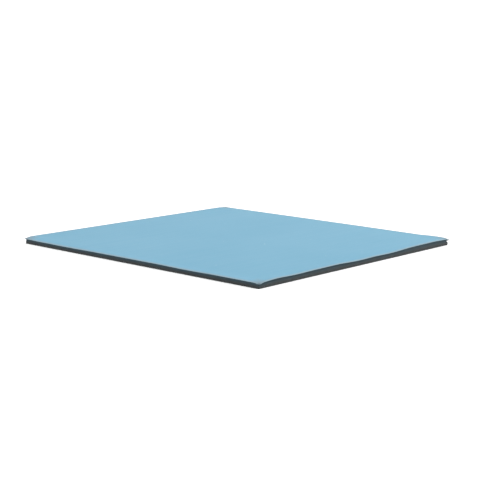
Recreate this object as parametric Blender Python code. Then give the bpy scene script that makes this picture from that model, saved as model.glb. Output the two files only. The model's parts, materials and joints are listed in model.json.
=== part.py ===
"""Thermal pad sheet: a soft grey silicone pad under a light blue release film.

The sheet lies flat on the plane z = 0, with its origin at the centre of its underside.
Its length runs along X and its width along Y.
The pad is flat in the middle. The cut has pressed its left edge thinner and left a wave along its front edge.
Its front and right corners are pressed down, and the two front edges have a few shallow dents and bumps.
Its cut sides are rounded below, hollow under the film, and flare out to a thin arris just below the film.
The film lies on the pad's upper face, follows it everywhere and stands a little past that arris.
"""

import math

import bmesh
import bpy

# Sizes of the cut sheet, in metres
SHEET_LENGTH = 0.100
SHEET_WIDTH = 0.100
PAD_THICKNESS = 0.0020
FILM_THICKNESS = 0.0001
FILM_CLEARANCE = 0.00002
CORNER_RADIUS = 0.0002

# The section of a cut side, from its foot up: each place's share of the height, and its inset from the outline
SIDE_SECTION = (
    (0.00, 0.00015),
    (0.14, 0.00003),
    (0.38, 0.00000),
    (0.65, 0.00014),
    (0.85, 0.00032),
    (0.92, 0.00014),
)

# How strongly the right, back, left and front sides have that section: two of them are cut almost straight
SECTION_SHARES = (1.0, 0.2, 0.2, 1.0)

# How far the pad's upper arris flares out past the outline, and how far the film stands past it
ARRIS_FLARE = 0.00028
FILM_RIM = 0.00007

# The uneven edges: their width, and the share of the pad's thickness that is pressed away at the very edge.
# NEAR is at the side's front end and FAR at its other end, and below zero the edge stands proud.
EDGE_BAND = 0.006
LEFT_BAND_FAR = 0.0035
FRONT_BAND_FAR = 0.013
LEFT_PRESS_NEAR = 0.17
LEFT_PRESS_FAR = 0.27
FRONT_PRESS_NEAR = 0.015
FRONT_PRESS_FAR = -0.10
RIGHT_PRESS_NEAR = -0.04
RIGHT_PRESS_FAR = 0.115
BACK_PRESS = -0.025

# The corners where the cuts meet: how far in each is pressed down, and the share of the thickness at its tip
FRONT_CORNER_REACH = 0.002
FRONT_CORNER_PRESS = 0.18
RIGHT_CORNER_REACH = 0.0017
RIGHT_CORNER_PRESS = 0.34

# The wave along the front edge, which grows from nothing at the left to this share at the right
WAVE_PRESS = 0.105
WAVE_LENGTH = 0.050
WAVE_CREST = 0.033

# Dents along the two front sides, and bumps below zero.
# Each has its place from the front left corner, its reach to either side, and its share of the thickness.
LEFT_DENTS = (
    (0.028, 0.012, 0.055),
    (0.079, 0.012, 0.035),
    (0.098, 0.005, -0.045),
)
FRONT_DENTS = (
    (0.0085, 0.005, -0.055),
    (0.0175, 0.006, 0.030),
    (0.0470, 0.010, 0.100),
    (0.0660, 0.010, 0.065),
    (0.0920, 0.008, -0.040),
)

# Largest height difference that is left out, so that the middle is truly flat
FLAT_LIMIT = 0.00002

# How finely the curved faces are divided
SIDE_SEGMENTS = 36
CORNER_SEGMENTS = 3
BAND_RINGS = 5

# How much closer together the band's rings lie towards the edge: 1 spaces them evenly
BAND_CROWDING = 1.5

# Smallest angle that stays a sharp edge when the rest is shaded smooth
SHARP_ANGLE = math.radians(30)

PAD_COLOUR = (0.055, 0.064, 0.069, 1.0)
PAD_ROUGHNESS = 0.8
FILM_COLOUR = (0.270, 0.515, 0.672, 1.0)
FILM_ROUGHNESS = 0.45


def remove_old_objects():
    for old_object in list(bpy.data.objects):
        bpy.data.objects.remove(old_object, do_unlink=True)


def make_material(name, colour, roughness):
    """A plain non-metal surface."""
    material = bpy.data.materials.new(name)
    material.use_nodes = True
    shader = material.node_tree.nodes["Principled BSDF"]
    shader.inputs["Base Color"].default_value = colour
    shader.inputs["Roughness"].default_value = roughness
    shader.inputs["Metallic"].default_value = 0.0
    return material


def band_share(distance, reach):
    """1 at an edge or corner, falling smoothly to 0 where its uneven band ends."""
    inside = 1.0 - max(0.0, distance) / reach
    return max(0.0, inside) ** 2


def grown(near, far, along):
    """A value that changes slowly at a side's near end and faster towards its far end."""
    return near + (far - near) * along ** 2


def dent_share(along, dents):
    """Share of the thickness that a side's dents take away at a place along it."""
    total = 0.0
    for place, reach, share in dents:
        inside = 1.0 - ((along - place) / reach) ** 2
        total += share * max(0.0, inside) ** 2
    return total


def pressed_share(x, y):
    """Share of the pad's thickness that is pressed away at a point of the sheet."""
    from_left = SHEET_LENGTH / 2 + x
    from_right = SHEET_LENGTH / 2 - x
    from_front = SHEET_WIDTH / 2 + y
    from_back = SHEET_WIDTH / 2 - y

    up_sheet = from_front / SHEET_WIDTH
    left = grown(LEFT_PRESS_NEAR, LEFT_PRESS_FAR, up_sheet) + dent_share(from_front, LEFT_DENTS)
    left_band = grown(EDGE_BAND, LEFT_BAND_FAR, up_sheet)
    right = grown(RIGHT_PRESS_NEAR, RIGHT_PRESS_FAR, up_sheet)

    along_front = from_left / SHEET_LENGTH
    wave = WAVE_PRESS * along_front * math.cos(2 * math.pi * (from_left - WAVE_CREST) / WAVE_LENGTH)
    front = grown(FRONT_PRESS_NEAR, FRONT_PRESS_FAR, along_front) - wave
    front += dent_share(from_left, FRONT_DENTS)
    front_band = grown(EDGE_BAND, FRONT_BAND_FAR, along_front)

    share = left * band_share(from_left, left_band) + front * band_share(from_front, front_band)
    share += right * band_share(from_right, EDGE_BAND) + BACK_PRESS * band_share(from_back, EDGE_BAND)
    share += FRONT_CORNER_PRESS * band_share(math.hypot(from_left, from_front), FRONT_CORNER_REACH)
    share += RIGHT_CORNER_PRESS * band_share(math.hypot(from_right, from_front), RIGHT_CORNER_REACH)
    return share


def drop_at(x, y):
    """How far the pad's upper face lies below its flat middle."""
    drop = PAD_THICKNESS * pressed_share(x, y)
    return drop if abs(drop) > FLAT_LIMIT else 0.0


def outline(insets):
    """The sheet's outline, each side drawn in by its own inset: points anticlockwise, closer near corners."""
    right, back, left, front = insets
    x_high = SHEET_LENGTH / 2 - right - CORNER_RADIUS
    y_high = SHEET_WIDTH / 2 - back - CORNER_RADIUS
    x_low = left + CORNER_RADIUS - SHEET_LENGTH / 2
    y_low = front + CORNER_RADIUS - SHEET_WIDTH / 2
    corners = ((x_high, y_low, -90), (x_high, y_high, 0), (x_low, y_high, 90), (x_low, y_low, 180))
    arcs = []
    for centre_x, centre_y, start in corners:
        arc = []
        for step in range(CORNER_SEGMENTS + 1):
            angle = math.radians(start + 90 * step / CORNER_SEGMENTS)
            x = centre_x + CORNER_RADIUS * math.cos(angle)
            y = centre_y + CORNER_RADIUS * math.sin(angle)
            arc.append((x, y))
        arcs.append(arc)

    points = []
    for arc, next_arc in zip(arcs, arcs[1:] + arcs[:1]):
        points.extend(arc)
        start_x, start_y = arc[-1]
        end_x, end_y = next_arc[0]
        for step in range(1, SIDE_SEGMENTS):
            along = (1 - math.cos(math.pi * step / SIDE_SEGMENTS)) / 2
            points.append((start_x + (end_x - start_x) * along, start_y + (end_y - start_y) * along))
    return points


def band_insets():
    """The sides' insets for each ring of the pad's upper face, from its flared arris to its flat middle."""
    bands = (EDGE_BAND, EDGE_BAND, EDGE_BAND, FRONT_BAND_FAR)
    rings = []
    for ring in range(BAND_RINGS + 1):
        inward = (ring / BAND_RINGS) ** BAND_CROWDING
        rings.append([-ARRIS_FLARE + (band + ARRIS_FLARE) * inward for band in bands])
    return rings


def face_ring(insets, height):
    """A ring that follows the pad's upper face, with height measured from its flat middle."""
    return [(x, y, height - drop_at(x, y)) for x, y in outline(insets)]


def side_ring(up, inset):
    """A ring around the pad's cut sides, at a share of their height."""
    points = outline([inset * share for share in SECTION_SHARES])
    return [(x, y, (PAD_THICKNESS - drop_at(x, y)) * up) for x, y in points]


def add_patch(body, first, second, third, fourth):
    """A four-sided patch as two triangles, split along its lower diagonal, so both pieces split alike."""
    if first.co.z + third.co.z <= second.co.z + fourth.co.z:
        body.faces.new((first, second, third))
        body.faces.new((first, third, fourth))
    else:
        body.faces.new((first, second, fourth))
        body.faces.new((second, third, fourth))


def loft(name, rings, material):
    """One closed solid through rings of equal length, from the middle of its underside up to its top."""
    body = bmesh.new()
    loops = [[body.verts.new(point) for point in ring] for ring in rings]
    for lower, upper in zip(loops, loops[1:]):
        for index, start in enumerate(lower):
            after = (index + 1) % len(lower)
            add_patch(body, start, lower[after], upper[after], upper[index])
    body.faces.new(list(reversed(loops[0])))
    body.faces.new(loops[-1])

    mesh = bpy.data.meshes.new(name)
    body.to_mesh(mesh)
    body.free()
    mesh.shade_smooth()
    mesh.set_sharp_from_angle(angle=SHARP_ANGLE)
    mesh.materials.append(material)
    piece = bpy.data.objects.new(name, mesh)
    bpy.context.scene.collection.objects.link(piece)
    return piece


def make_thermal_pad():
    """The soft slab: flat below, with hollow cut sides and an upper face with pressed edges."""
    rings = [side_ring(up, inset) for up, inset in SIDE_SECTION]
    rings += [face_ring(insets, PAD_THICKNESS) for insets in band_insets()]
    material = make_material("grey_silicone", PAD_COLOUR, PAD_ROUGHNESS)
    return loft("thermal_pad", rings, material)


def make_release_film():
    """The liner, with its origin level with its underside in the flat middle of the sheet."""
    rim = [-ARRIS_FLARE - FILM_RIM] * len(SECTION_SHARES)
    ring_insets = [rim] + band_insets()
    rings = [face_ring(insets, 0.0) for insets in reversed(ring_insets)]
    rings += [face_ring(insets, FILM_THICKNESS) for insets in ring_insets]
    material = make_material("blue_film", FILM_COLOUR, FILM_ROUGHNESS)
    film = loft("release_film", rings, material)
    film.location.z = PAD_THICKNESS + FILM_CLEARANCE
    return film


def main():
    remove_old_objects()
    sheet = bpy.data.objects.new("thermal_pad_sheet", None)
    bpy.context.scene.collection.objects.link(sheet)
    for piece in (make_thermal_pad(), make_release_film()):
        piece.parent = sheet


main()
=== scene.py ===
import json
import math

import bmesh
import bpy
from mathutils import Matrix, Vector


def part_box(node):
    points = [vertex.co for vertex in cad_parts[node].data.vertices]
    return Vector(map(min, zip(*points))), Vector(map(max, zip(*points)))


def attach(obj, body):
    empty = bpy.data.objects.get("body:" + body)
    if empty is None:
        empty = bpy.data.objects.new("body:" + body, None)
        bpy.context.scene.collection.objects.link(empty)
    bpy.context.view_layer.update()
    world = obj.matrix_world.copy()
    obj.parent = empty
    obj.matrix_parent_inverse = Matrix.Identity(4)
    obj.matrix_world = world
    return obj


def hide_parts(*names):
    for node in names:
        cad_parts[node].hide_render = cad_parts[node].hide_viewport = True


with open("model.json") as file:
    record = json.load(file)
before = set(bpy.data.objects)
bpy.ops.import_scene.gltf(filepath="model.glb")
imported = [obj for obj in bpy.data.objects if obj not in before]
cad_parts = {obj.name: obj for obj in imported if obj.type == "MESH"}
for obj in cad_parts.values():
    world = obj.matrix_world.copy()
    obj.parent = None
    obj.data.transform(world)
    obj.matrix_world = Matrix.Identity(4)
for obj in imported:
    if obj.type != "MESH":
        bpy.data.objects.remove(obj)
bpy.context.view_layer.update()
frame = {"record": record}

# The sheet's looks: a pad of filled silicone with soft cut sides, under a satin blue release film.
# All sizes are in metres, in the frame's axes: the pad's underside lies on z = 0.
# Left is towards -X and front towards -Y, and the camera looks at the front left corner.

# Sizes read from the frame, where the pad's upper arris flares out past the sheet's outline
ARRIS_FLARE = 0.00028
PAD_LOW, PAD_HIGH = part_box("thermal_pad")
FILM_LOW, FILM_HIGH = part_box("release_film")
SHEET_LENGTH = PAD_HIGH.x - PAD_LOW.x - 2 * ARRIS_FLARE
SHEET_WIDTH = PAD_HIGH.y - PAD_LOW.y - 2 * ARRIS_FLARE
FILM_LENGTH = FILM_HIGH.x - FILM_LOW.x
FILM_WIDTH = FILM_HIGH.y - FILM_LOW.y

# Heights in the sheet's flat middle: the film's upper face is where the frame has a mount,
# and the pad's lies below it by the film's thickness and the clearance between the two
MOUNT_HEIGHTS = {mount["name"]: mount["pos_m"][2] for mount in frame["record"]["mounts"]}
FILM_TOP = MOUNT_HEIGHTS["top_face"]
FILM_THICKNESS = 0.0001
FILM_CLEARANCE = 0.00002
PAD_TOP = FILM_TOP - FILM_THICKNESS - FILM_CLEARANCE

# The cut edges: the width of their uneven band, and the share of the pad's thickness that is pressed away.
# NEAR is at the side's front or left end and FAR at its other end, and below zero the edge stands proud.
EDGE_BAND = 0.006
LEFT_BAND_FAR = 0.0035
FRONT_BAND_FAR = 0.013
LEFT_PRESS_NEAR = 0.17
LEFT_PRESS_FAR = 0.27
FRONT_PRESS_NEAR = 0.015
FRONT_PRESS_FAR = -0.10
RIGHT_PRESS_NEAR = -0.04
RIGHT_PRESS_FAR = 0.115
BACK_PRESS = -0.025

# The corners where the cuts meet: how far in each is pressed down, and the thickness's share at its tip
FRONT_CORNER_REACH = 0.002
FRONT_CORNER_PRESS = 0.18
RIGHT_CORNER_REACH = 0.0017
RIGHT_CORNER_PRESS = 0.34

# The wave along the front edge, which grows from nothing at the left to this share at the right
WAVE_PRESS = 0.105
WAVE_LENGTH = 0.050
WAVE_CREST = 0.033

# Dents along the sides, and bumps below zero.
# Each has its place from the side's near end, its reach to either side, and its share of the thickness.
LEFT_DENTS = (
    (0.028, 0.012, 0.055),
    (0.079, 0.012, 0.035),
    (0.098, 0.005, -0.045),
)
FRONT_DENTS = (
    (0.0085, 0.005, -0.055),
    (0.0175, 0.006, 0.030),
    (0.0470, 0.010, 0.100),
    (0.0660, 0.010, 0.065),
    (0.0920, 0.008, -0.040),
)
RIGHT_DENTS = (
    (0.0055, 0.007, -0.090),
)

# The grid that both upper faces are modelled on, and their rounded corners
CELL = 0.001
CORNER_RADIUS = 0.0002
CORNER_SEGMENTS = 4

# The section of the pad's cut sides, from their flared arris down to their foot:
# each place's share of the height, and its inset from the sheet's outline
SIDE_SECTION = (
    (1.000, -ARRIS_FLARE),
    (0.985, -0.00027),
    (0.960, -0.00024),
    (0.935, -0.00014),
    (0.915, 0.00002),
    (0.890, 0.00019),
    (0.850, 0.00030),
    (0.800, 0.00031),
    (0.740, 0.00025),
    (0.670, 0.00016),
    (0.600, 0.00008),
    (0.520, 0.00003),
    (0.440, 0.00000),
    (0.340, 0.00000),
    (0.240, 0.00001),
    (0.150, 0.00003),
    (0.080, 0.00007),
    (0.030, 0.00011),
    (0.000, 0.00015),
)

# How strongly the right, back, left and front sides have that section below its flare
SECTION_SHARES = (1.0, 0.2, 0.2, 1.0)

# The knife's drag on the cut sides: how far it moves them, the size of its patches,
# and how fast it sets in below the arris and above the foot
SIDE_DRAG = 0.00005
SIDE_DRAG_SIZE = 0.0035
SIDE_DRAG_ONSET = 6.0

# The attribute that tells the pad's material how far up a side a place lies
SIDE_HEIGHT = "side_height"

# Vertex groups, by name, because a group that is kept as a value goes stale once a modifier is applied
SIDE_GROUP = "cut_sides"
RIM_GROUP = "rim"

# The film's cut line: how far it wanders, the size of its waves along X and Y, and how far in they reach.
# The film is made smaller by what it wanders, so it keeps inside its CAD outline.
CUT_WANDER = 0.00003
CUT_WAVE_ALONG = 0.012
CUT_WAVE_ACROSS = 0.009
CUT_WAVE_REACH = 0.0005

# The rounding of the film's cut rim, and the angle from which its edges get it
RIM_ROUNDING = 0.00002
RIM_ROUNDING_ANGLE = math.radians(60)

# Angle from which an edge stays sharp when the rest is shaded smooth
SHARP_ANGLE = math.radians(40)

# Colours, as linear values
FILM_BLUE = (0.167, 0.388, 0.531, 1.0)
FILM_BLUE_PALE = (0.178, 0.400, 0.542, 1.0)
# Painted light: a paler blue for the left side, whose pressed-down edge slopes away from the key light
FILM_PAINTED_LIGHT_LEFT = (0.208, 0.430, 0.580, 1.0)
# Painted sheen: a greyer blue for the film's cut rim
FILM_RIM_SHEEN = (0.265, 0.372, 0.430, 1.0)
# Painted shade and reflection: a darker grey for the film's corners, where they bend down
FILM_CORNER_SHADING = (0.225, 0.300, 0.345, 1.0)
# Painted shadow: near black for the very tips of the film's corners
FILM_TIP_SHADOW = (0.055, 0.075, 0.090, 1.0)
FILM_DUST = (0.45, 0.58, 0.66, 1.0)
PAD_AT_FOOT = (0.031, 0.034, 0.034, 1.0)
# Painted shade and blue light from the film: the top of the pad's sides, under the film's overhang
PAD_SHADE_UNDER_FILM = (0.024, 0.054, 0.072, 1.0)
PAD_MOTTLE = (0.045, 0.053, 0.056, 1.0)
PAD_FILLER = (0.070, 0.078, 0.082, 1.0)

# How far in from the film's cut rim its painted sheen reaches, and how far from its corners their painted
# shade reaches
RIM_SHEEN_REACH = 0.0014
CORNER_SHADING_REACH = 0.0045

# Patterns, in clouds for each metre, or for each metre along X, Y and Z
FILM_TONES = 28.0
FILM_STREAKS = (12.0, 900.0, 12.0)
FILM_SPECKS = 650.0
FILM_GRAIN = 5200.0
FILM_WAVES = 90.0
PAD_PATCHES = 420.0
PAD_SPECKS = 4200.0
PAD_GRAIN = 3500.0
PAD_DRAG_LINES = (2200.0, 2200.0, 260.0)

# The part of a pattern's range that shows as clouds, as specks or as streaks
CLOUDY_PART = (0.35, 0.65)
STREAKY_PART = (0.3, 0.7)
DUST_PART = (0.80, 0.84)
FILLER_PART = (0.66, 0.74)

# The part of a corner's painted shade over which its tip darkens to a painted shadow
TIP_PART = (0.75, 0.97)

# The part of the side's height over which the pad gets darker and bluer towards the film: painted shade and
# blue light under the film's overhang
SHADE_UNDER_FILM_PART = (0.35, 0.85)

# How strongly the painted shadow at the tips, the dust, mottling and filler show at most
TIP_SHARE = 0.8
DUST_SHARE = 0.6
MOTTLE_SHARE = 0.4
FILLER_SHARE = 0.8

# Depths of the relief
FILM_GRAIN_DEPTH = 0.000006
FILM_STREAK_DEPTH = 0.000001
FILM_WAVE_DEPTH = 0.00006
PAD_GRAIN_DEPTH = 0.00003
PAD_DRAG_DEPTH = 0.00005

# Sheen: the range of each roughness, and the strength of the reflections
FILM_ROUGHNESS = (0.44, 0.50)
FILM_SPECULAR = 0.04
PAD_ROUGHNESS = (0.72, 0.84)
PAD_SPECULAR = 0.22

# The camera, solved from the lines of the photograph, for a 36 mm sensor: it looks at the front left corner
SENSOR = 36.0
LENS = 96.34
ELEVATION = math.radians(10.021)
YAW = math.radians(49.625)
ROLL = math.radians(1.034)
DISTANCE = 0.42906
SHIFT_ASIDE = 0.000340
SHIFT_UP = 0.003367

# The studio: an even white surround, and a pale round floor with a rim that curves up
WORLD_COLOUR = (1.0, 1.0, 1.0, 1.0)
WORLD_STRENGTH = 1.0
FLOOR_COLOUR = (0.99, 0.99, 0.99, 1.0)
FLOOR_GLOW = 0.28
FLOOR_ROUGHNESS = 0.9
FLOOR_SPECULAR = 0.1
FLOOR_RADIUS = 3.0
FLOOR_SEGMENTS = 96
FLOOR_RIM = 0.9
FLOOR_RIM_STEPS = 12


# Shape of the upper face

def band_share(distance, reach):
    """1 at an edge or corner, falling smoothly to 0 where its uneven band ends."""
    inside = 1.0 - max(0.0, distance) / reach
    return max(0.0, inside) ** 2


def grown(near, far, along):
    """A value that changes slowly at a side's near end and faster towards its far end."""
    return near + (far - near) * along ** 2


def dent_share(along, dents):
    """Share of the thickness that a side's dents take away at a place along it."""
    total = 0.0
    for place, reach, share in dents:
        inside = 1.0 - ((along - place) / reach) ** 2
        total += share * max(0.0, inside) ** 2
    return total


def pressed_share(x, y):
    """Share of the pad's thickness that the cut has pressed away at a point of the sheet."""
    from_left = SHEET_LENGTH / 2 + x
    from_right = SHEET_LENGTH / 2 - x
    from_front = SHEET_WIDTH / 2 + y
    from_back = SHEET_WIDTH / 2 - y

    up_sheet = from_front / SHEET_WIDTH
    left = grown(LEFT_PRESS_NEAR, LEFT_PRESS_FAR, up_sheet) + dent_share(from_front, LEFT_DENTS)
    left_band = grown(EDGE_BAND, LEFT_BAND_FAR, up_sheet)
    right = grown(RIGHT_PRESS_NEAR, RIGHT_PRESS_FAR, up_sheet) + dent_share(from_front, RIGHT_DENTS)

    along_front = from_left / SHEET_LENGTH
    wave = WAVE_PRESS * along_front * math.cos(2 * math.pi * (from_left - WAVE_CREST) / WAVE_LENGTH)
    front = grown(FRONT_PRESS_NEAR, FRONT_PRESS_FAR, along_front) - wave
    front += dent_share(from_left, FRONT_DENTS)
    front_band = grown(EDGE_BAND, FRONT_BAND_FAR, along_front)

    share = left * band_share(from_left, left_band) + front * band_share(from_front, front_band)
    share += right * band_share(from_right, EDGE_BAND) + BACK_PRESS * band_share(from_back, EDGE_BAND)
    share += FRONT_CORNER_PRESS * band_share(math.hypot(from_left, from_front), FRONT_CORNER_REACH)
    share += RIGHT_CORNER_PRESS * band_share(math.hypot(from_right, from_front), RIGHT_CORNER_REACH)
    return share


def edge_distance(place, length, width):
    """How far a place lies inside the nearest side of a sheet."""
    return min(length / 2 - abs(place.x), width / 2 - abs(place.y))


def corner_distance(place, length, width):
    """How far a place lies from the nearest corner of a sheet."""
    return math.hypot(length / 2 - abs(place.x), width / 2 - abs(place.y))


# Hand tools

def deselect_all():
    bpy.ops.object.select_all(action="DESELECT")


def start_editing(piece):
    deselect_all()
    bpy.context.view_layer.objects.active = piece
    piece.select_set(True)
    bpy.ops.object.mode_set(mode="EDIT")


def stop_editing():
    bpy.ops.object.mode_set(mode="OBJECT")


def select_vertices(piece, wanted):
    """In edit mode, selects only the vertices whose place is wanted."""
    bpy.ops.mesh.select_mode(type="VERT")
    bpy.ops.mesh.select_all(action="DESELECT")
    mesh = bmesh.from_edit_mesh(piece.data)
    for vertex in mesh.verts:
        vertex.select_set(wanted(vertex.co))
    mesh.select_flush_mode()
    bmesh.update_edit_mesh(piece.data)


def select_faces(piece, wanted):
    """In edit mode, selects only the faces whose middle is wanted."""
    bpy.ops.mesh.select_mode(type="FACE")
    bpy.ops.mesh.select_all(action="DESELECT")
    mesh = bmesh.from_edit_mesh(piece.data)
    for face in mesh.faces:
        face.select_set(wanted(face.calc_center_median()))
    bmesh.update_edit_mesh(piece.data)


def select_open_edges():
    bpy.ops.mesh.select_mode(type="EDGE")
    bpy.ops.mesh.select_all(action="DESELECT")
    bpy.ops.mesh.select_non_manifold()


def draw_ring(scale, centre, shift):
    """In edit mode, extrudes the selected ring of edges, and scales and moves the new ring."""
    bpy.ops.mesh.extrude_region()
    bpy.ops.transform.resize(value=scale, center_override=centre)
    bpy.ops.transform.translate(value=shift)


def apply_modifier(piece, modifier):
    bpy.context.view_layer.objects.active = piece
    bpy.ops.object.modifier_apply(modifier=modifier.name)


def ripple(piece, name, direction, depth, size, group):
    """Moves the vertices of a group unevenly, as a soft sheet moves under the knife."""
    pattern = bpy.data.textures.new(name, "CLOUDS")
    pattern.noise_scale = size
    pattern.noise_depth = 2
    displace = piece.modifiers.new(name, "DISPLACE")
    displace.texture = pattern
    displace.texture_coords = "LOCAL"
    displace.direction = direction
    displace.strength = depth
    displace.mid_level = 0.5
    displace.vertex_group = group
    apply_modifier(piece, displace)


def finish_surface(piece, material):
    """Smooth shading with sharp arrises, faces outwards, and the piece's one material."""
    start_editing(piece)
    bpy.ops.mesh.select_all(action="SELECT")
    bpy.ops.mesh.normals_make_consistent(inside=False)
    stop_editing()
    bpy.ops.object.shade_smooth_by_angle(angle=SHARP_ANGLE)
    piece.data.materials.clear()
    piece.data.materials.append(material)


# The upper faces of both pieces

def flat_sheet(name, length, width):
    """A flat sheet of square cells with rounded corners, and finer cells in the band along its sides."""
    deselect_all()
    bpy.ops.mesh.primitive_grid_add(
        x_subdivisions=round(length / CELL),
        y_subdivisions=round(width / CELL),
        size=1.0,
        location=(0, 0, 0),
    )
    sheet = bpy.context.active_object
    sheet.name = name
    sheet.data.name = name
    start_editing(sheet)
    bpy.ops.transform.resize(value=(length, width, 1.0), center_override=(0, 0, 0))
    select_vertices(sheet, lambda place: corner_distance(place, length, width) < CELL / 2)
    bpy.ops.mesh.bevel(offset=CORNER_RADIUS, segments=CORNER_SEGMENTS, affect="VERTICES")
    select_faces(sheet, lambda place: edge_distance(place, length, width) < EDGE_BAND)
    bpy.ops.mesh.subdivide(number_cuts=1)
    stop_editing()
    return sheet


def press_edges(sheet, height, limit):
    """Lays a flat sheet at a height and presses its edges as the cut has, with no crest above a limit."""
    for vertex in sheet.data.vertices:
        pressed = PAD_TOP * pressed_share(vertex.co.x, vertex.co.y)
        vertex.co.z = min(height - pressed, limit)


# The pad

def side_insets(inset):
    """A place of the section on the right, back, left and front sides, which all have the same flare."""
    return [inset * share if inset > 0 else inset for share in SECTION_SHARES]


def ring_box(inset):
    """Size and centre of the ring around the pad at one place of the section."""
    right, back, left, front = side_insets(inset)
    size = Vector((SHEET_LENGTH - right - left, SHEET_WIDTH - back - front, 0.0))
    centre = Vector(((left - right) / 2, (front - back) / 2, 0.0))
    return size, centre


def note_heights(pad):
    """Stores how far up the pad's side each vertex lies, from 0 at its foot to 1 at its arris."""
    heights = pad.data.attributes.new(SIDE_HEIGHT, "FLOAT", "POINT")
    for vertex, height in zip(pad.data.vertices, heights.data):
        full = PAD_TOP * (1 - pressed_share(vertex.co.x, vertex.co.y))
        height.value = vertex.co.z / full


def group_sides(pad):
    """Groups the vertices of the cut sides, with weights that fade towards their arris and their foot."""
    sides = pad.vertex_groups.new(name=SIDE_GROUP)
    heights = [height.value for height in pad.data.attributes[SIDE_HEIGHT].data]
    for vertex, height in zip(pad.data.vertices, heights):
        inside = edge_distance(vertex.co, SHEET_LENGTH, SHEET_WIDTH)
        weight = min(1.0, SIDE_DRAG_ONSET * height * (1 - height))
        if inside < CELL / 2 and weight > 0.0:
            sides.add([vertex.index], weight, "REPLACE")


def model_pad(material):
    """The slab: its pressed upper face, its cut sides drawn down ring by ring, and its flat underside."""
    share, inset = SIDE_SECTION[0]
    size, centre = ring_box(inset)
    pad = flat_sheet("silicone_pad", size.x, size.y)
    press_edges(pad, PAD_TOP, PAD_HIGH.z)

    start_editing(pad)
    select_open_edges()
    for next_share, inset in SIDE_SECTION[1:]:
        next_size, next_centre = ring_box(inset)
        scale = (next_size.x / size.x, next_size.y / size.y, next_share / share)
        draw_ring(scale, centre, next_centre - centre)
        share, size, centre = next_share, next_size, next_centre
    bpy.ops.mesh.edge_face_add()
    stop_editing()

    note_heights(pad)
    group_sides(pad)
    ripple(pad, "knife_drag", "NORMAL", SIDE_DRAG, SIDE_DRAG_SIZE, SIDE_GROUP)
    pad.vertex_groups.clear()
    finish_surface(pad, material)
    return pad


# The film

def group_rim(film, length, width):
    """Groups the vertices along the film's cut line, with weights that fade out inwards."""
    rim = film.vertex_groups.new(name=RIM_GROUP)
    for vertex in film.data.vertices:
        weight = 1.0 - edge_distance(vertex.co, length, width) / CUT_WAVE_REACH
        if weight > 0.0:
            rim.add([vertex.index], weight, "REPLACE")


def model_film(material):
    """The liner: a thin sheet on the pad's upper face, a little wider, with a wandering cut line."""
    length = FILM_LENGTH - CUT_WANDER
    width = FILM_WIDTH - CUT_WANDER
    film = flat_sheet("blue_release_film", length, width)
    press_edges(film, FILM_TOP, FILM_HIGH.z)

    group_rim(film, length, width)
    ripple(film, "cut_line_along", "X", CUT_WANDER, CUT_WAVE_ALONG, RIM_GROUP)
    ripple(film, "cut_line_across", "Y", CUT_WANDER, CUT_WAVE_ACROSS, RIM_GROUP)
    film.vertex_groups.clear()

    thickness = film.modifiers.new("film_thickness", "SOLIDIFY")
    thickness.thickness = FILM_THICKNESS
    thickness.offset = -1.0
    apply_modifier(film, thickness)
    rounding = film.modifiers.new("cut_rim", "BEVEL")
    rounding.width = RIM_ROUNDING
    rounding.segments = 2
    rounding.limit_method = "ANGLE"
    rounding.angle_limit = RIM_ROUNDING_ANGLE
    apply_modifier(film, rounding)
    finish_surface(film, material)
    return film


# Material tools

# The Mix node's colour sockets by number, because its other sockets have the same names
MIX_FIRST = 6
MIX_SECOND = 7
MIX_RESULT = 2


def new_material(name):
    """A material with its tree, its shader and the place on the piece, to which its patterns keep."""
    material = bpy.data.materials.new(name)
    material.use_nodes = True
    tree = material.node_tree
    shader = tree.nodes["Principled BSDF"]
    coordinates = tree.nodes.new("ShaderNodeTexCoord")
    return material, tree, shader, coordinates.outputs["Object"]


def noise(tree, place, scale, detail=2.0):
    """A cloudy pattern: scale is in clouds for each metre."""
    pattern = tree.nodes.new("ShaderNodeTexNoise")
    pattern.inputs["Scale"].default_value = scale
    pattern.inputs["Detail"].default_value = detail
    tree.links.new(place, pattern.inputs["Vector"])
    return pattern.outputs["Fac"]


def drawn_noise(tree, place, scales, detail=2.0):
    """A cloudy pattern drawn out into lines: scales are in clouds for each metre along X, Y and Z."""
    mapping = tree.nodes.new("ShaderNodeMapping")
    mapping.inputs["Scale"].default_value = scales
    tree.links.new(place, mapping.inputs["Vector"])
    return noise(tree, mapping.outputs["Vector"], 1.0, detail)


def spread(tree, value, part, onto=(0.0, 1.0)):
    """Maps a part of a value's range onto another range, and clamps it there."""
    ranged = tree.nodes.new("ShaderNodeMapRange")
    ranged.inputs["From Min"].default_value = part[0]
    ranged.inputs["From Max"].default_value = part[1]
    ranged.inputs["To Min"].default_value = onto[0]
    ranged.inputs["To Max"].default_value = onto[1]
    tree.links.new(value, ranged.inputs["Value"])
    return ranged.outputs["Result"]


def mix_colours(tree, share, first, second):
    """Mixes two colours, each a colour value or another node's output."""
    mixed = tree.nodes.new("ShaderNodeMix")
    mixed.data_type = "RGBA"
    tree.links.new(share, mixed.inputs["Factor"])
    for colour, socket in ((first, mixed.inputs[MIX_FIRST]), (second, mixed.inputs[MIX_SECOND])):
        if isinstance(colour, tuple):
            socket.default_value = colour
        else:
            tree.links.new(colour, socket)
    return mixed.outputs[MIX_RESULT]


def combine(tree, operation, first, second=0.0):
    """Works out one number from two, each a number or another node's output."""
    worked = tree.nodes.new("ShaderNodeMath")
    worked.operation = operation
    for value, socket in ((first, worked.inputs[0]), (second, worked.inputs[1])):
        if isinstance(value, float):
            socket.default_value = value
        else:
            tree.links.new(value, socket)
    return worked.outputs["Value"]


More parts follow.
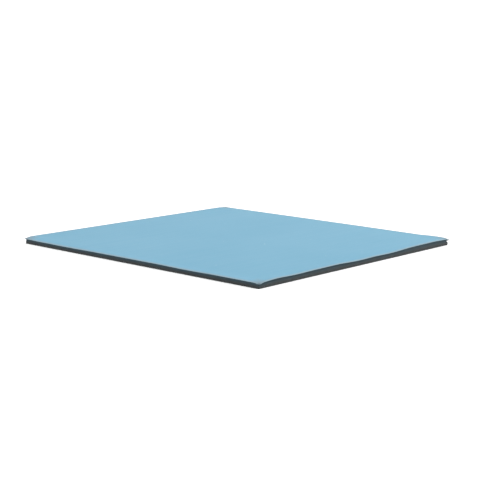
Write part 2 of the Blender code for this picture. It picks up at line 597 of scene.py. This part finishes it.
def bump(tree, height, depth, under=None):
    """A relief of its own, or on top of another one."""
    relief = tree.nodes.new("ShaderNodeBump")
    relief.inputs["Strength"].default_value = 1.0
    relief.inputs["Distance"].default_value = depth
    tree.links.new(height, relief.inputs["Height"])
    if under is not None:
        tree.links.new(under, relief.inputs["Normal"])
    return relief.outputs["Normal"]


def along_axis(tree, place, axis):
    """A place's coordinate along one axis."""
    apart = tree.nodes.new("ShaderNodeSeparateXYZ")
    tree.links.new(place, apart.inputs["Vector"])
    return apart.outputs[axis]


def near_sides(tree, place, axis, size, reach):
    """1 at the two sides of a sheet that bound it along an axis, falling to 0 at reach inside them."""
    aside = combine(tree, "ABSOLUTE", along_axis(tree, place, axis))
    return spread(tree, aside, (size / 2 - reach, size / 2))


def near_film_edges(tree, place, reach, operation):
    """MAXIMUM gives 1 at all of the film's sides, and MINIMUM at its corners only."""
    along = near_sides(tree, place, "X", FILM_LENGTH, reach)
    across = near_sides(tree, place, "Y", FILM_WIDTH, reach)
    return combine(tree, operation, along, across)


# Materials

def film_colour(tree, place):
    """Blue with slow tone changes and a little dust, a painted sheen that greys its cut rim, and painted
    shade at its corners that darkens to a painted shadow at their tips.

    It is painted paler along the left side: painted light on the slope where that edge is pressed down
    most.
    """
    tones = spread(tree, noise(tree, place, FILM_TONES, detail=3.0), CLOUDY_PART)
    colour = mix_colours(tree, tones, FILM_BLUE, FILM_BLUE_PALE)
    # Painted light: paler along the left side, where its pressed-down edge slopes away from the key light
    left_side = -FILM_LENGTH / 2
    painted_left_light = spread(tree, along_axis(tree, place, "X"), (left_side, left_side + EDGE_BAND), (1.0, 0.0))
    colour = mix_colours(tree, painted_left_light, colour, FILM_PAINTED_LIGHT_LEFT)
    # Painted sheen: greyer along the cut rim
    rim = near_film_edges(tree, place, RIM_SHEEN_REACH, "MAXIMUM")
    colour = mix_colours(tree, rim, colour, FILM_RIM_SHEEN)
    # Painted shade and reflection: darker and greyer at the bent-down corners
    corners = near_film_edges(tree, place, CORNER_SHADING_REACH, "MINIMUM")
    colour = mix_colours(tree, corners, colour, FILM_CORNER_SHADING)
    # Painted shadow: near black at the corners' tips
    tips = spread(tree, corners, TIP_PART, (0.0, TIP_SHARE))
    colour = mix_colours(tree, tips, colour, FILM_TIP_SHADOW)
    dust = spread(tree, noise(tree, place, FILM_SPECKS, detail=1.0), DUST_PART, (0.0, DUST_SHARE))
    return mix_colours(tree, dust, colour, FILM_DUST)


def film_material():
    """Satin film with a fine grain, faint streaks and the slow waves of a film that lies on a soft pad."""
    material, tree, shader, place = new_material("satin_blue_film")
    tree.links.new(film_colour(tree, place), shader.inputs["Base Color"])

    streaks = drawn_noise(tree, place, FILM_STREAKS)
    tree.links.new(spread(tree, streaks, STREAKY_PART, FILM_ROUGHNESS), shader.inputs["Roughness"])
    shader.inputs["Specular IOR Level"].default_value = FILM_SPECULAR

    grain = bump(tree, noise(tree, place, FILM_GRAIN), FILM_GRAIN_DEPTH)
    streaked = bump(tree, streaks, FILM_STREAK_DEPTH, under=grain)
    waved = bump(tree, noise(tree, place, FILM_WAVES), FILM_WAVE_DEPTH, under=streaked)
    tree.links.new(waved, shader.inputs["Normal"])
    return material


def pad_material():
    """Dark silicone, mottled and speckled with filler, with fine drag lines, and painted shade and blue
    light on its sides towards the film.
    """
    material, tree, shader, place = new_material("filled_grey_silicone")
    side_height = tree.nodes.new("ShaderNodeAttribute")
    side_height.attribute_name = SIDE_HEIGHT
    # Painted shade and blue light from the film: darker and bluer up the pad's sides, towards the film
    bluer = spread(tree, side_height.outputs["Fac"], SHADE_UNDER_FILM_PART)
    colour = mix_colours(tree, bluer, PAD_AT_FOOT, PAD_SHADE_UNDER_FILM)
    mottle = spread(tree, noise(tree, place, PAD_PATCHES, detail=4.0), CLOUDY_PART)
    colour = mix_colours(tree, combine(tree, "MULTIPLY", mottle, MOTTLE_SHARE), colour, PAD_MOTTLE)
    filler = spread(tree, noise(tree, place, PAD_SPECKS, detail=1.0), FILLER_PART, (0.0, FILLER_SHARE))
    colour = mix_colours(tree, filler, colour, PAD_FILLER)
    tree.links.new(colour, shader.inputs["Base Color"])

    tree.links.new(spread(tree, mottle, (0.0, 1.0), PAD_ROUGHNESS), shader.inputs["Roughness"])
    shader.inputs["Specular IOR Level"].default_value = PAD_SPECULAR

    grain = bump(tree, noise(tree, place, PAD_GRAIN, detail=3.0), PAD_GRAIN_DEPTH)
    drag_lines = drawn_noise(tree, place, PAD_DRAG_LINES, detail=3.0)
    dragged = bump(tree, drag_lines, PAD_DRAG_DEPTH, under=grain)
    tree.links.new(dragged, shader.inputs["Normal"])
    return material


def floor_material():
    """A pale floor that glows faintly, so that it stays white under the sheet's edges."""
    material = bpy.data.materials.new("pale_floor")
    material.use_nodes = True
    shader = material.node_tree.nodes["Principled BSDF"]
    shader.inputs["Base Color"].default_value = FLOOR_COLOUR
    shader.inputs["Roughness"].default_value = FLOOR_ROUGHNESS
    shader.inputs["Specular IOR Level"].default_value = FLOOR_SPECULAR
    shader.inputs["Emission Color"].default_value = FLOOR_COLOUR
    shader.inputs["Emission Strength"].default_value = FLOOR_GLOW
    return material


# Studio

def make_floor():
    """A wide round floor whose rim curves up, so that no horizon shows."""
    deselect_all()
    bpy.ops.mesh.primitive_circle_add(
        vertices=FLOOR_SEGMENTS, radius=FLOOR_RADIUS, fill_type="TRIFAN", location=(0, 0, 0)
    )
    floor = bpy.context.active_object
    floor.name = "floor"
    start_editing(floor)
    select_open_edges()
    radius, height = FLOOR_RADIUS, 0.0
    for step in range(1, FLOOR_RIM_STEPS + 1):
        angle = math.pi / 2 * step / FLOOR_RIM_STEPS
        next_radius = FLOOR_RADIUS + FLOOR_RIM * math.sin(angle)
        next_height = FLOOR_RIM * (1 - math.cos(angle))
        growth = next_radius / radius
        draw_ring((growth, growth, 1.0), (0, 0, height), (0, 0, next_height - height))
        radius, height = next_radius, next_height
    stop_editing()
    bpy.ops.object.shade_smooth()
    floor.data.materials.append(floor_material())


def make_world():
    world = bpy.data.worlds.new("studio")
    world.use_nodes = True
    background = world.node_tree.nodes["Background"]
    background.inputs["Color"].default_value = WORLD_COLOUR
    background.inputs["Strength"].default_value = WORLD_STRENGTH
    bpy.context.scene.world = world


def make_area_light(name, azimuth, elevation, distance, size, power):
    """A square soft light that looks at the sheet: azimuth 0 is on its -Y side and 90 on its +X side."""
    turn = math.radians(azimuth)
    rise = math.radians(elevation)
    level = math.cos(rise)
    direction = Vector((math.sin(turn) * level, -math.cos(turn) * level, math.sin(rise)))
    light = bpy.data.lights.new(name, "AREA")
    light.shape = "SQUARE"
    light.size = size
    light.energy = power
    lamp = bpy.data.objects.new(name, light)
    lamp.location = direction * distance
    lamp.rotation_euler = direction.to_track_quat("Z", "Y").to_euler()
    bpy.context.scene.collection.objects.link(lamp)


def make_camera():
    """The photograph's own view, as its lines give it."""
    away = Vector((0.0, -math.cos(ELEVATION), math.sin(ELEVATION)))
    level = Vector((1.0, 0.0, 0.0))
    upright = away.cross(level)
    right = level * math.cos(ROLL) + upright * math.sin(ROLL)
    up = upright * math.cos(ROLL) - level * math.sin(ROLL)
    pose = Matrix((right, up, away)).transposed().to_4x4()
    pose.translation = (away + right * SHIFT_ASIDE + up * SHIFT_UP) * DISTANCE

    data = bpy.data.cameras.new("photo_camera")
    data.sensor_width = SENSOR
    data.lens = LENS
    data.clip_start = 0.01
    data.clip_end = 50.0
    camera = bpy.data.objects.new("photo_camera", data)
    camera.matrix_world = Matrix.Rotation(-YAW, 4, "Z") @ pose
    bpy.context.scene.collection.objects.link(camera)
    bpy.context.scene.camera = camera


def dress(piece, node):
    """Puts a finished piece in its CAD node's place."""
    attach(piece, "root")
    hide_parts(node)


make_camera()
make_world()
make_floor()
make_area_light("key_light", azimuth=42, elevation=28, distance=0.75, size=0.45, power=2.3)
bpy.context.scene.view_settings.view_transform = "Standard"

dress(model_pad(pad_material()), "thermal_pad")
dress(model_film(film_material()), "release_film")
